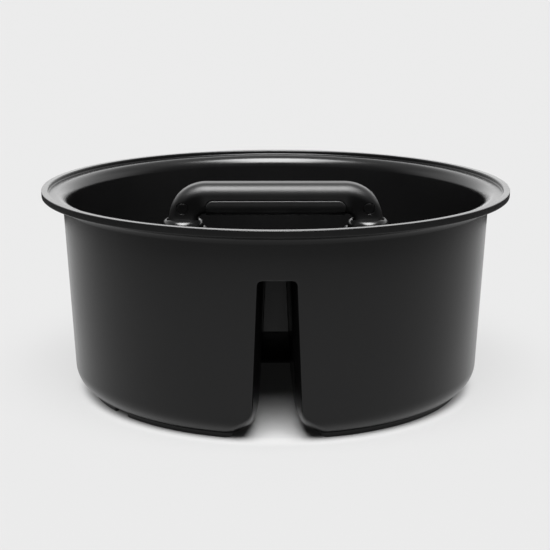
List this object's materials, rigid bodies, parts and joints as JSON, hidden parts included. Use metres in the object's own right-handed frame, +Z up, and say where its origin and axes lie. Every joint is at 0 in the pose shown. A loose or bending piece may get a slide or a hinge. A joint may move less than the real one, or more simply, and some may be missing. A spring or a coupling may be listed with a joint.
{
  "type": "bucket tool organizer",
  "caption": "Round black tray that hangs on a bucket's lip, with a hollow divider, a tall front slot and an arched carry handle.",
  "frame": {"origin": "centre of the foot ring's underside, on the axis of the round tub", "axes": "+Z up out of the tub, -Y towards the tall slot in the wall, X along the handle's bar"},
  "size_m": [0.306, 0.306, 0.1356],
  "materials": {
    "tub_plastic": "black polypropylene, fine satin mould texture",
    "handle_plastic": "black plastic, slightly coarser spark texture",
    "grip_rubber": "black soft strip, matte",
    "pin_plastic": "black plastic, satin"
  },
  "bodies": {
    "root": {"tub": "tub_plastic", "handle": "handle_plastic", "grip_insert": "grip_rubber", "left_pin": "pin_plastic", "right_pin": "pin_plastic"}
  },
  "joints": []
}
